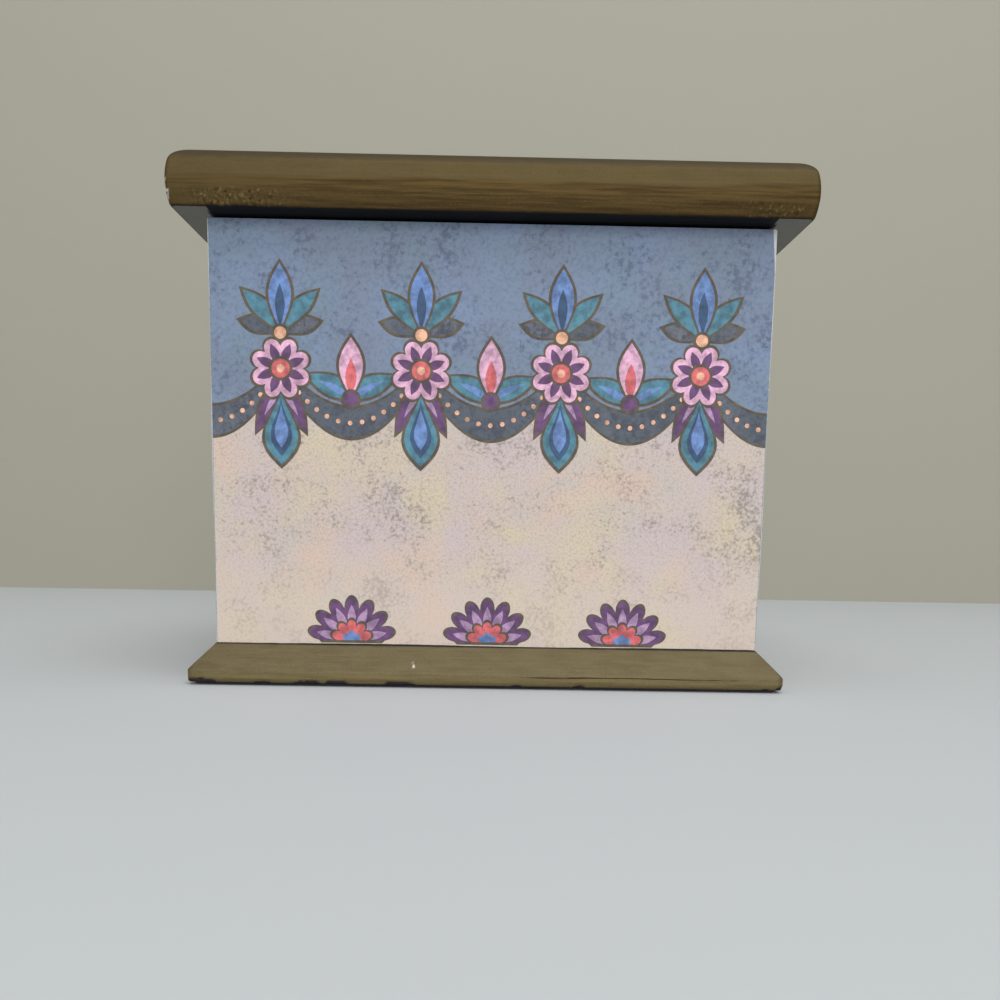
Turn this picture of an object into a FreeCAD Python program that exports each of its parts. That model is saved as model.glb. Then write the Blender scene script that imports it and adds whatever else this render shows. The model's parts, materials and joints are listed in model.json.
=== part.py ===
import FreeCAD, Part
import math
import os

# A keepsake box of painted wood. Four papered walls stand on a flared plinth, and a bullnosed lid
# opens on two brass butt hinges at the back. Sizes are in millimetres.
# X runs from left to right, Y from front to back and Z up. The origin is under the middle of the
# box, on the surface that it stands on.

Vector = FreeCAD.Vector
UP = Vector(0, 0, 1)
DOWN = Vector(0, 0, -1)
SIDES = (-1, 1)

# Walls and the paper pasted over them
body_width = 140.0  # over the papered walls, left to right
body_depth = 100.0  # over the papered walls, front to back
wall_height = 104.5
wall_thickness = 6.0
rabbet_depth = 3.0  # how far the side walls are let into the front and back walls
paper_thickness = 0.3
paper_trim = 0.3  # bare strip of wall left under the paper

# Plinth and the felt under it
plinth_flare = 6.2  # how far the foot stands out beyond the papered walls
plinth_rise = 6.4  # height of the sloping face
plinth_lip = 3.0  # height of the upright edge below the slope
felt_thickness = 0.8
felt_inset = 1.5  # how far the felt stops short of the foot's edge

# Lid
lid_thickness = 13.5
lid_overhang = 8.0  # how far the fullest part of the nose stands out beyond the papered walls
nose_height = 6.0  # of the fullest part, above the underside
nose_radius = 21.6  # of the long curve down the edge
lid_top_round = 4.0  # where that curve turns onto the top

# Linings inside the box and under the lid
floor_lining_thickness = 1.0
lid_lining_thickness = 0.8
lining_clearance = 0.5  # between a lining and the walls round it

# Hinges
hinge_length = 25.0
hinge_place_share = 0.3  # of the body width, from the middle to each hinge
knuckle_count = 5
knuckle_radius = 1.6
knuckle_play = 0.2  # between neighbouring knuckles
leaf_thickness = 0.5
leaf_gap = 0.1  # between the two leaves when the lid is shut
leaf_setback = 1.2  # from the inside of the back wall to the leaf
leaf_clearance = 0.1  # round a leaf that is let into the back wall, and above the back sheet
pin_radius = 0.8
pin_clearance = 0.05
pin_head_radius = 1.2
pin_head_thickness = 0.5
swing_clearance = 0.3  # round the knuckles, for what turns past them

# Screws, brads and the holes that they fill
hinge_screw_length = 8.0
hinge_screw_radius = 0.9
hinge_screw_head_radius = 1.5
hinge_screw_place_share = 0.32  # of the hinge length, from its middle to each screw
plinth_screw_length = 22.0
plinth_screw_radius = 1.5
plinth_screw_head_radius = 3.0
plinth_screw_place_share = 0.32  # of the body width, from the middle to each screw
slot_width_share = 0.3  # of the head radius
slot_depth_share = 0.5  # of the head height
brad_length = 16.0
brad_radius = 0.6
brad_height_shares = (0.12, 0.5, 0.88)  # of the wall height
point_share = 2.0  # length of a point, in shank radii
hole_clearance = 0.05

# Bumpers that hold the lid level at the front
bumper_radius = 2.2
bumper_place_share = 0.43  # of the body width, from the middle to each bumper

# Places that follow from the sizes
half_width = body_width / 2
half_depth = body_depth / 2
wall_half_width = half_width - paper_thickness
wall_half_depth = half_depth - paper_thickness
inside_half_width = wall_half_width - wall_thickness
inside_half_depth = wall_half_depth - wall_thickness
side_wall_middle = wall_half_width - wall_thickness / 2
end_wall_middle = wall_half_depth - wall_thickness / 2
plinth_top = felt_thickness + plinth_lip + plinth_rise
wall_top = plinth_top + wall_height
lid_gap = leaf_thickness + leaf_gap
lid_under = wall_top + lid_gap
lid_top = lid_under + lid_thickness
hinge_y = half_depth + knuckle_radius + swing_clearance
hinge_z = wall_top + leaf_gap / 2
hinge_places = [side * hinge_place_share * body_width for side in SIDES]
leaf_start = inside_half_depth + leaf_setback


def block(x_span, y_span, z_span):
    """A box between two values along each axis, given in either order."""
    low = Vector(min(x_span), min(y_span), min(z_span))
    high = Vector(max(x_span), max(y_span), max(z_span))
    size = high - low
    return Part.makeBox(size.x, size.y, size.z, low)


def hinge_rod(x_span, radius):
    """A round bar on the hinge axis."""
    start, end = x_span
    return Part.makeCylinder(radius, end - start, Vector(start, hinge_y, hinge_z), Vector(1, 0, 0))


def turned(outline):
    """A solid turned about Z from (radius, height) points."""
    points = [Vector(radius, 0, height) for radius, height in outline]
    face = Part.Face(Part.makePolygon(points + points[:1]))
    return face.revolve(Vector(0, 0, 0), UP, 360)


def crossed(outline, half_x, half_y):
    """A solid with the same edge on all four sides, mitred at the corners."""
    reach = 2 * max(half_x, half_y)
    across = Part.Face(outline(half_x)).extrude(Vector(0, 2 * reach, 0))
    across.translate(Vector(0, -reach, 0))
    along = Part.Face(outline(half_y)).extrude(Vector(0, 2 * reach, 0))
    along.translate(Vector(0, -reach, 0))
    along.rotate(Vector(0, 0, 0), UP, 90)
    return across.common(along)


# Fasteners stand on their heads at the origin and point up, and sites are places with directions.
def copies(fastener, sites):
    """A copy of a fastener at each site."""
    found = []
    for place, direction in sites:
        copy = fastener.copy()
        copy.Placement = FreeCAD.Placement(place, FreeCAD.Rotation(UP, direction))
        found.append(copy)
    return found


def screw_outline(radius, head_radius, length, extra):
    """Half section of a countersunk screw, grown by extra all round."""
    head_height = head_radius - radius
    point = point_share * radius
    return [
        (0, 0),
        (head_radius + extra, 0),
        (radius + extra, head_height),
        (radius + extra, length - point),
        (0, length + extra),
    ]


def screws(radius, head_radius, length, sites):
    """Slotted screws at their sites, and the holes that they fill."""
    slot = slot_width_share * head_radius / 2
    depth = slot_depth_share * (head_radius - radius)
    screw = turned(screw_outline(radius, head_radius, length, 0))
    slotted = screw.cut(block((-slot, slot), (-head_radius, head_radius), (0, depth)))
    hole = turned(screw_outline(radius, head_radius, length, hole_clearance))
    return copies(slotted, sites), copies(hole, sites)


def hinge_screws(level):
    """The screws through the leaves on the wall (level -1) or under the lid (level 1), and their holes."""
    offset = hinge_screw_place_share * hinge_length
    direction = UP if level > 0 else DOWN
    height = hinge_z + level * leaf_gap / 2
    spots = [x + side * offset for x in hinge_places for side in SIDES]
    sites = [(Vector(x, end_wall_middle, height), direction) for x in spots]
    return screws(hinge_screw_radius, hinge_screw_head_radius, hinge_screw_length, sites)


def plinth_screws():
    """The screws that hold the walls down on the plinth, and their holes."""
    offset = plinth_screw_place_share * body_width
    spots = [(x * offset, y * end_wall_middle) for x in SIDES for y in SIDES]
    spots += [(x * side_wall_middle, 0) for x in SIDES]
    sites = [(Vector(x, y, felt_thickness), UP) for x, y in spots]
    return screws(plinth_screw_radius, plinth_screw_head_radius, plinth_screw_length, sites)


def brad(extra):
    """A pointed brad, grown by extra all round."""
    radius = brad_radius + extra
    shank = brad_length - point_share * brad_radius
    return turned([(0, 0), (radius, 0), (radius, shank), (0, brad_length + extra)])


def corner_brads():
    """The brads through the front and back walls into the ends of the side walls, and their holes."""
    sites = []
    for x in SIDES:
        for y in SIDES:
            for share in brad_height_shares:
                height = plinth_top + share * wall_height
                place = Vector(x * side_wall_middle, y * wall_half_depth, height)
                sites.append((place, Vector(0, -y, 0)))
    return copies(brad(0), sites), copies(brad(hole_clearance), sites)


# Plinth
def plinth_outline(half):
    foot = half + plinth_flare
    lip_top = felt_thickness + plinth_lip
    right = [(foot, felt_thickness), (foot, lip_top), (half, plinth_top)]
    left = [(-across, height) for across, height in reversed(right)]
    points = [Vector(across, 0, height) for across, height in right + left]
    return Part.makePolygon(points + points[:1])


def base_felt():
    half_x = half_width + plinth_flare - felt_inset
    half_y = half_depth + plinth_flare - felt_inset
    return block((-half_x, half_x), (-half_y, half_y), (0, felt_thickness))


# Walls
def end_wall(side):
    """The front (side -1) or back (side 1) wall, with a rabbet at each end for a side wall."""
    inner = side * inside_half_depth
    heights = (plinth_top, wall_top)
    wall = block((-wall_half_width, wall_half_width), (inner, side * wall_half_depth), heights)
    step = (inner, inner + side * rabbet_depth)
    rabbets = [block((x * inside_half_width, x * wall_half_width), step, heights) for x in SIDES]
    return wall.cut(rabbets)


def side_wall(side):
    half_length = inside_half_depth + rabbet_depth
    thickness = (side * inside_half_width, side * wall_half_width)
    return block(thickness, (-half_length, half_length), (plinth_top, wall_top))


def leaf_seats():
    """The shallow housings in the top of the back wall that the wall leaves lie in."""
    reach = hinge_length / 2 + leaf_clearance
    span = (leaf_start - leaf_clearance, half_depth)
    heights = (wall_top - leaf_thickness, hinge_z)
    return [block((x - reach, x + reach), span, heights) for x in hinge_places]


# Paper
def end_paper(side):
    """The front or back sheet, which laps over the edges of the side sheets.

    The back one stops under the hinge leaves, which lie on bare wood.
    """
    thickness = (side * wall_half_depth, side * half_depth)
    top = wall_top if side < 0 else wall_top - leaf_thickness - leaf_clearance
    return block((-half_width, half_width), thickness, (plinth_top + paper_trim, top))


def side_paper(side):
    thickness = (side * wall_half_width, side * half_width)
    return block(thickness, (-wall_half_depth, wall_half_depth), (plinth_top + paper_trim, wall_top))


# Lid
def nose_arc(centre, radius, start, end):
    """An arc across X and Z between two angles in radians, counted up from +X."""
    angles = (start, (start + end) / 2, end)
    points = [centre + Vector(math.cos(angle), 0, math.sin(angle)) * radius for angle in angles]
    return Part.Arc(*points).toShape()


def lid_outline(half):
    """Section of the lid: a long shallow nose, rounded onto the top and cut square underneath."""
    nose_centre = Vector(half + lid_overhang - nose_radius, 0, lid_under + nose_height)
    round_height = lid_top - lid_top_round
    round_reach = nose_radius - lid_top_round
    rise = round_height - nose_centre.z
    round_centre = Vector(nose_centre.x + math.sqrt(round_reach**2 - rise**2), 0, round_height)
    foot_angle = -math.asin(nose_height / nose_radius)
    turn_angle = math.asin(rise / round_reach)
    right = [
        nose_arc(nose_centre, nose_radius, foot_angle, turn_angle),
        nose_arc(round_centre, lid_top_round, turn_angle, math.pi / 2),
    ]
    left = [edge.mirror(Vector(0, 0, 0), Vector(1, 0, 0)) for edge in right]
    foot = nose_centre.x + nose_radius * math.cos(foot_angle)
    flats = [
        Part.makeLine(Vector(-foot, 0, lid_under), Vector(foot, 0, lid_under)),
        Part.makeLine(Vector(-round_centre.x, 0, lid_top), Vector(round_centre.x, 0, lid_top)),
    ]
    return Part.Wire(Part.__sortEdges__(right + left + flats))


def lid_board(screw_holes):
    """The lid, with grooves that clear the knuckles and holes for the hinge screws."""
    board = crossed(lid_outline, half_width, half_depth)
    reach = hinge_length / 2 + pin_head_thickness + swing_clearance
    grooves = [hinge_rod((x - reach, x + reach), knuckle_radius + swing_clearance) for x in hinge_places]
    return board.cut(grooves + screw_holes)


def lining(bottom, thickness):
    """A sheet that fills the inside of the box from wall to wall."""
    half_x = inside_half_width - lining_clearance
    half_y = inside_half_depth - lining_clearance
    return block((-half_x, half_x), (-half_y, half_y), (bottom, bottom + thickness))


# Hinges
def hinge_leaf(place, level, screw_holes):
    """A leaf and its knuckles: let into the back wall for level -1, under the lid for level 1."""
    start = place - hinge_length / 2
    low = hinge_z + level * leaf_gap / 2
    heights = (low, low + level * leaf_thickness)
    leaf = block((start, start + hinge_length), (leaf_start, half_depth), heights)
    pitch = hinge_length / knuckle_count
    first = 0 if level < 0 else 1
    for index in range(first, knuckle_count, 2):
        left = start + index * pitch + knuckle_play / 2
        span = (left, left + pitch - knuckle_play)
        leaf = leaf.fuse([block(span, (half_depth, hinge_y), heights), hinge_rod(span, knuckle_radius)])
    bore = hinge_rod((start, start + hinge_length), pin_radius + pin_clearance)
    return leaf.cut([bore] + screw_holes).removeSplitter()


def hinge_pin(place):
    half = hinge_length / 2
    pin = hinge_rod((place - half, place + half), pin_radius)
    heads = []
    for side in SIDES:
        ends = sorted((place + side * half, place + side * (half + pin_head_thickness)))
        heads.append(hinge_rod(ends, pin_head_radius))
    return pin.fuse(heads).removeSplitter()


def lid_bumpers():
    """Two round pads on the front wall, as thick as the gap that the lid leaves hold open."""
    places = [Vector(x * bumper_place_share * body_width, -end_wall_middle, wall_top) for x in SIDES]
    return [Part.makeCylinder(bumper_radius, lid_gap, place) for place in places]


def build():
    """Every piece by its name."""
    plinth_fixings, plinth_holes = plinth_screws()
    brads, brad_holes = corner_brads()
    wall_fixings, wall_holes = hinge_screws(-1)
    lid_fixings, lid_holes = hinge_screws(1)
    wood_holes = plinth_holes + brad_holes
    pieces = {
        "base_felt": base_felt(),
        "plinth": crossed(plinth_outline, half_width, half_depth).cut(plinth_holes),
        "front_wall": end_wall(-1).cut(wood_holes),
        "back_wall": end_wall(1).cut(wood_holes + wall_holes + leaf_seats()),
        "left_wall": side_wall(-1).cut(wood_holes),
        "right_wall": side_wall(1).cut(wood_holes),
        "front_paper": end_paper(-1),
        "back_paper": end_paper(1),
        "left_paper": side_paper(-1),
        "right_paper": side_paper(1),
        "floor_lining": lining(plinth_top, floor_lining_thickness),
        "plinth_screws": Part.makeCompound(plinth_fixings),
        "corner_brads": Part.makeCompound(brads),
        "hinge_wall_screws": Part.makeCompound(wall_fixings),
        "lid_bumpers": Part.makeCompound(lid_bumpers()),
        "lid_board": lid_board(lid_holes),
        "lid_lining": lining(lid_under - lid_lining_thickness, lid_lining_thickness),
        "hinge_lid_screws": Part.makeCompound(lid_fixings),
    }
    for name, place in zip(("left", "right"), hinge_places):
        pieces[name + "_hinge_wall_leaf"] = hinge_leaf(place, -1, wall_holes)
        pieces[name + "_hinge_lid_leaf"] = hinge_leaf(place, 1, lid_holes)
        pieces[name + "_hinge_pin"] = hinge_pin(place)
    return pieces


def main():
    os.makedirs("parts", exist_ok=True)
    for name, shape in build().items():
        shape.exportStep(os.path.join("parts", name + ".step"))
        print(name, "solids", len(shape.Solids), "valid", shape.isValid(), "volume", round(shape.Volume, 2))
    print("hinge axis at y", round(hinge_y, 3), "z", round(hinge_z, 3), "lid top", round(lid_top, 3))


main()
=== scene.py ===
# %% [markdown]
# # A keepsake box in printed paper and bronze paint
#
# Four thin boards, papered outside, stand on a flared plinth under a heavy lid with a rounded edge.
# The frame holds every board, hinge and screw at its true size and place. This lesson dresses them:
# the two painted boards get meshes with real brush relief, the papers get cut edges and printed
# motifs, and the hidden felts, hinges and screws get finishes of their own.

# %% Load the frame
import json
import math

import bmesh
import bpy
import numpy as np
from mathutils import Matrix, Vector


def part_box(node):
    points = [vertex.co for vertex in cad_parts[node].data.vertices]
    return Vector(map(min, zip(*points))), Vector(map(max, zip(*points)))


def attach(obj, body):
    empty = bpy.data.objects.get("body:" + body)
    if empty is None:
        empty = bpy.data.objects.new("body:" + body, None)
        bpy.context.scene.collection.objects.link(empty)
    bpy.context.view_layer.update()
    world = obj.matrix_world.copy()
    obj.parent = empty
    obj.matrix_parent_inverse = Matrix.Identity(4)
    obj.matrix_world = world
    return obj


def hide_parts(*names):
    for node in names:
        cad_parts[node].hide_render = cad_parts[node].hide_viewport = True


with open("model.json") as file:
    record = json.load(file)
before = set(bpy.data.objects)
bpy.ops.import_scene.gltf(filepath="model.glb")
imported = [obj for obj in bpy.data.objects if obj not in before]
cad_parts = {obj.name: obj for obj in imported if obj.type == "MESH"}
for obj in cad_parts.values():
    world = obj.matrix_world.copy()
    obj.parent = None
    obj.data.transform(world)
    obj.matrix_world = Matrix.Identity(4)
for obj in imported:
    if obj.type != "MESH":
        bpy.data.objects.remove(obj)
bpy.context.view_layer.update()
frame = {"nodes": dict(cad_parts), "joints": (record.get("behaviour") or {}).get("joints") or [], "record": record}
MM = 0.001

# %% [markdown]
# ## Tools for wiring nodes
#
# Shaders and Geometry Nodes are both trees of nodes. A small helper class adds a node, sets its
# inputs and links it in one line, so that each finish below reads like a recipe. Colours are written
# as the 0 to 255 values that a screen shows, and turned into the linear values that shaders use.


# %% Wiring
def colour(red, green, blue):
    """A screen colour from 0 to 255 as linear red, green, blue and alpha."""
    shares = [value / 255 for value in (red, green, blue)]
    linear = [share / 12.92 if share < 0.04045 else ((share + 0.055) / 1.055) ** 2.4 for share in shares]
    return (*linear, 1.0)


class Wiring:
    """Adds linked nodes to a tree."""

    def __init__(self, tree):
        self.tree = tree

    def feed(self, socket, value):
        if isinstance(value, bpy.types.NodeSocket):
            self.tree.links.new(value, socket)
        else:
            socket.default_value = value

    def node(self, kind, inputs=None, **settings):
        made = self.tree.nodes.new(kind)
        for name, value in settings.items():
            setattr(made, name, value)
        for socket, value in (inputs or {}).items():
            self.feed(made.inputs[socket], value)
        return made

    def math(self, operation, first, second=0.0):
        return self.node("ShaderNodeMath", {0: first, 1: second}, operation=operation).outputs[0]

    def plus(self, first, second):
        return self.math("ADD", first, second)

    def minus(self, first, second):
        return self.math("SUBTRACT", first, second)

    def times(self, first, second):
        return self.math("MULTIPLY", first, second)

    def vector_math(self, operation, first, second):
        return self.node("ShaderNodeVectorMath", {0: first, 1: second}, operation=operation).outputs[0]

    def spread(self, value, low, high):
        """0 below low, 1 above high and a smooth step between them."""
        inputs = {"Value": value, "From Min": low, "From Max": high}
        return self.node("ShaderNodeMapRange", inputs, interpolation_type="SMOOTHSTEP").outputs[0]

    def noise(self, vector, size, detail=3.0, roughness=0.5):
        """Noise whose features are about as large as size, a length or one length for each axis."""
        sizes = (size, size, size) if isinstance(size, float) else size
        scaled = self.vector_math("DIVIDE", vector, sizes)
        inputs = {"Vector": scaled, "Scale": 1.0, "Detail": detail, "Roughness": roughness}
        return self.node("ShaderNodeTexNoise", inputs).outputs[0]


print("mid grey in linear light", round(colour(128, 128, 128)[0], 3))


# %% Finish builder
class Finish(Wiring):
    """A material that is built up node by node on one Principled shader."""

    def __init__(self, name, **constants):
        self.material = bpy.data.materials.new(name)
        self.material.use_nodes = True
        super().__init__(self.material.node_tree)
        self.shader = self.tree.nodes["Principled BSDF"]
        for socket, value in constants.items():
            self.shader.inputs[socket.replace("_", " ")].default_value = value
        self.place = self.node("ShaderNodeTexCoord").outputs["Object"]

    def stored(self, name, output="Fac"):
        """What the mesh stores under a name at each point: a number, or as Vector a vector."""
        return self.node("ShaderNodeAttribute", attribute_name=name).outputs[output]

    def axis(self, vector, index):
        return self.node("ShaderNodeSeparateXYZ", {0: vector}).outputs[index]

    def mix(self, share, first, second):
        made = self.node("ShaderNodeMix", {0: share}, data_type="RGBA")
        first_socket, second_socket = [socket for socket in made.inputs if socket.type == "RGBA"]
        self.feed(first_socket, first)
        self.feed(second_socket, second)
        return next(socket for socket in made.outputs if socket.type == "RGBA")

    def paint(self, base, rough=None, relief=None, depth=0.0):
        """Links the colour, and where given the roughness and a bump as deep as depth."""
        self.feed(self.shader.inputs["Base Color"], base)
        if rough is not None:
            self.feed(self.shader.inputs["Roughness"], rough)
        if relief is not None:
            bump = self.node("ShaderNodeBump", {"Height": relief, "Distance": depth, "Strength": 1.0})
            self.feed(self.shader.inputs["Normal"], bump.outputs[0])
        return self.material


print("finish builder ready")


# %% Tree helpers
def geometry_tree(name, inputs):
    """An empty Geometry Nodes tree with named inputs, and its wiring, input node and output node."""
    tree = bpy.data.node_groups.new(name, "GeometryNodeTree")
    tree.interface.new_socket("Geometry", in_out="INPUT", socket_type="NodeSocketGeometry")
    for label, kind in inputs.items():
        tree.interface.new_socket(label, in_out="INPUT", socket_type="NodeSocket" + kind)
    tree.interface.new_socket("Geometry", in_out="OUTPUT", socket_type="NodeSocketGeometry")
    wiring = Wiring(tree)
    return wiring, wiring.node("NodeGroupInput").outputs, wiring.node("NodeGroupOutput").inputs


def end_tree(wiring, result, geometry, material, **choice):
    """Ends a tree: copies become plain mesh, which takes a material all over or on a Selection."""
    real = wiring.node("GeometryNodeRealizeInstances", {"Geometry": geometry}).outputs[0]
    inputs = {"Geometry": real, "Material": material, **choice}
    wiring.feed(result["Geometry"], wiring.node("GeometryNodeSetMaterial", inputs).outputs[0])
    return wiring.tree


def grow(piece, tree, values):
    """Runs a tree on a piece with the given inputs and keeps the result as its plain mesh."""
    modifier = piece.modifiers.new(tree.name, "NODES")
    modifier.node_group = tree
    for item in tree.interface.items_tree:
        if item.in_out == "INPUT" and item.name in values:
            modifier[item.identifier] = values[item.name]
    bpy.context.view_layer.update()
    evaluated = piece.evaluated_get(bpy.context.evaluated_depsgraph_get())
    settled = bpy.data.meshes.new_from_object(evaluated)
    piece.modifiers.clear()
    piece.data = settled
    return piece


print("tree helpers ready")

# %% [markdown]
# ## Painted finishes
#
# The lid and plinth were brushed by hand with a metallic bronze. The upper part dried smooth, the
# browner part below it kept the streaks of the brush, and the lid's flat top shows them faintly. The
# noise for them is stretched along an attribute called stroke, which each mesh stores: how far along
# the edge a point lies, and how far across it. The streaks then turn the corners with the board. Other
# attributes say where the paint is lumpy or scored, where it has chipped to its dark undercoat, where
# pale wood shows, and where painted shade darkens the lid's top arris and the plinth's crease. The
# lumps carry a painted highlight on their crests and painted shade in their pits, and the dark line
# along the lid's foot is undercoat and painted shade together. The walls are satin black, and so are
# the two ends of the lid's underside, which is flat black between them as painted shade under its
# overhangs.

# %% Brush marks
STREAK_SIZE = (24 * MM, 0.9 * MM, 1.0)  # along and across the strokes
CLOUD_SIZE = (8 * MM, 3 * MM, 1.0)
SWAY_SIZE = (30 * MM, 2.2 * MM, 1.0)
GRAIN_SIZE = 0.32 * MM
BORDER_BLUR = 0.7 * MM


def brush_marks(finish, border, waver):
    """What a brushed board's coats are mixed by: its noises, attributes and the border between coats."""
    stroke = finish.stored("stroke", "Vector")
    across = finish.axis(stroke, 1)
    sway = finish.noise(stroke, SWAY_SIZE, detail=4.0, roughness=0.55)
    wavering = finish.plus(across, finish.times(finish.minus(sway, 0.5), waver))
    below = finish.spread(wavering, border + BORDER_BLUR, border - BORDER_BLUR)
    low_coat = finish.stored("low_coat")
    return {
        "across": across,
        "wavering": wavering,
        "low_coat": low_coat,
        "below": finish.times(below, low_coat),
        "streaks": finish.noise(stroke, STREAK_SIZE, detail=4.0, roughness=0.62),
        "clouds": finish.noise(stroke, CLOUD_SIZE),
        "grain": finish.noise(finish.place, GRAIN_SIZE, roughness=0.6),
        "raised": finish.stored("raised"),
    }


print("streaks in mm", [round(size / MM, 1) for size in STREAK_SIZE[:2]])

# %% Bronze paint
PALE_WOOD = colour(228, 222, 208)
FLECK_SIZE = 1.3 * MM
SCORE_FADE = (0.22 * MM, 0.06 * MM)  # to each side of the scored line
BRONZE_DEPTH = 0.035 * MM


def bronze_coats(finish, marks, tones, border):
    """A smooth pair of tones above the border, and below it a streaked pair that darkens downwards."""
    foot = finish.times(finish.spread(marks["across"], 0.75 * border, 0.4 * border), 0.28)
    streaked = finish.mix(finish.spread(marks["streaks"], 0.34, 0.64), *tones["lower"])
    streaked = finish.mix(foot, streaked, tones["pit"])
    even = finish.plus(finish.times(marks["clouds"], 0.55), finish.times(marks["streaks"], 0.45))
    plain = finish.mix(finish.spread(even, 0.36, 0.62), *tones["upper"])
    coat = finish.mix(marks["below"], plain, streaked)
    on_top = finish.times(finish.spread(marks["low_coat"], 0.5, 0.0), 0.5)
    for mark, start, full, share, tone in (
        ("streaks", 0.5, 0.72, on_top, "pit"),
        ("streaks", 0.5, 0.3, on_top, "crest"),
        ("grain", 0.5, 0.7, 0.24, "pit"),
        ("grain", 0.46, 0.28, 0.3, "crest"),
        # Painted highlight on the lumps' crests, and painted shade in their pits.
        ("raised", 0.08, 0.4, 1.0, "crest"),
        ("raised", -0.08, -0.4, 1.0, "pit"),
    ):
        covered = finish.times(finish.spread(marks[mark], start, full), share)
        coat = finish.mix(covered, coat, tones[tone])
    return coat


def bronze_wear(finish, coat, marks, tones, border):
    """Painted shade, the line scored along the border, chips to the undercoat and pale bare wood."""
    # Painted shade: a darker band on the lid's top arris and in the plinth's crease.
    coat = finish.mix(finish.stored("rubbed"), coat, tones["rubbed"])
    offset = finish.math("ABSOLUTE", finish.minus(marks["wavering"], border))
    line = finish.times(finish.stored("scored"), finish.spread(marks["streaks"], 0.36, 0.44))
    coat = finish.mix(finish.times(line, finish.spread(offset, *SCORE_FADE)), coat, tones["pit"])
    # Chips to the undercoat; along the lid's foot the dark line is painted shade as well.
    coat = finish.mix(finish.stored("chip"), coat, tones["bare"])
    flecks = finish.spread(finish.noise(finish.place, FLECK_SIZE), 0.48, 0.58)
    flecks = finish.times(flecks, finish.stored("fleck"))
    return finish.mix(finish.math("MAXIMUM", flecks, finish.stored("nick")), coat, PALE_WOOD)


def bronze_paint(name, tones, border, waver):
    """Brushed bronze in a smooth pair of tones above a wavering border and a streaked pair below it."""
    finish = Finish(name, Metallic=0.4, Specular_IOR_Level=0.12)
    marks = brush_marks(finish, border, waver)
    coat = bronze_coats(finish, marks, tones, border)
    base = bronze_wear(finish, coat, marks, tones, border)
    rough = finish.plus(0.44, finish.times(marks["clouds"], 0.16))
    ridges = finish.times(marks["streaks"], finish.plus(0.25, finish.times(marks["below"], 0.75)))
    relief = finish.plus(ridges, finish.times(marks["grain"], 0.35))
    return finish.paint(base, rough, relief, BRONZE_DEPTH)


print("fleck in mm", FLECK_SIZE / MM)

# %% Painted boards
BLACK_STREAKS = (14 * MM, 0.8 * MM, 0.8 * MM)
BLACK_DEPTH = 0.02 * MM
LID_BORDER = 7.2 * MM  # how far up the lid's edge the browner coat reaches
LID_WAVER = 3.0 * MM
LIP_BORDER = 2.7 * MM  # how far up the plinth's edge its lip is scored
LIP_WAVER = 1.4 * MM


def black_paint(name, gloss, roughest):
    """Brushed black, from satin that mirrors what lies behind it to flat black that mirrors nothing."""
    finish = Finish(name, Specular_IOR_Level=gloss)
    streaks = finish.noise(finish.place, BLACK_STREAKS)
    base = finish.mix(streaks, colour(14, 14, 16), colour(30, 29, 30))
    rough = finish.times(roughest, finish.plus(0.4, finish.times(streaks, 0.6)))
    return finish.paint(base, rough, streaks, BLACK_DEPTH)


# The lid and plinth wear one bronze. The lid's tones are darker and browner and the plinth's lighter and greyer:
# painted light, for the floor's light that reaches the plinth and not the lid.
LID_TONES = {
    "upper": (colour(85, 72, 43), colour(92, 78, 49)),
    "lower": (colour(62, 46, 20), colour(87, 70, 36)),
    "crest": colour(101, 84, 51),
    "pit": colour(48, 36, 16),
    # Painted shade on the lid's rounded top arris.
    "rubbed": colour(74, 64, 44),
    "bare": colour(30, 26, 24),
}
PLINTH_TONES = {
    "upper": (colour(103, 92, 66), colour(114, 103, 76)),
    "lower": (colour(108, 96, 63), colour(124, 111, 77)),
    "crest": colour(128, 116, 86),
    "pit": colour(56, 47, 32),
    # Painted shade in the crease under the wall.
    "rubbed": colour(52, 43, 32),
    "bare": colour(44, 38, 44),
}
lid_bronze = bronze_paint("lid_bronze", LID_TONES, LID_BORDER, LID_WAVER)
plinth_bronze = bronze_paint("plinth_bronze", PLINTH_TONES, LIP_BORDER, LIP_WAVER)
satin_black = black_paint("satin_black", gloss=0.46, roughest=0.34)
# The flat black stands in for the shade under the lid's overhangs.
flat_black = black_paint("flat_black", gloss=0.05, roughest=0.9)
print("painted finishes", lid_bronze.name, plinth_bronze.name, satin_black.name, flat_black.name)

# %% [markdown]
# ## Paper and its inks
#
# The paper's ground is sponged: small ragged blotches gather into clouds over a plain colour. One
# noise draws the blotches, a larger and softer one shifts the level at which they appear, and a finer
# one mottles what they leave. The blue ground, the cream field and the slate band differ only in
# colours and sizes, so one function makes all three. The cream field turns warmer towards its foot.
# The sheet itself shows white where it was cut, by its distance to the cut edge.

# %% Printed paper
TINT_SIZE = 15 * MM
BLOTCH_CLOUD = 9 * MM
FIBRE_SIZE = 0.25 * MM
FIBRE_DEPTH = 0.012 * MM
FOOT_FADE = (44 * MM, 10 * MM)  # heights between which a paper turns into the colour of its foot
WORN_WIDTH = 0.9 * MM
TORN_WAVER = 0.3 * MM
TORN_FADE = (0.38 * MM, 0.24 * MM)  # from the cut edge, where the white core ends
PAPER_CORE = colour(206, 208, 206)


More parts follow.
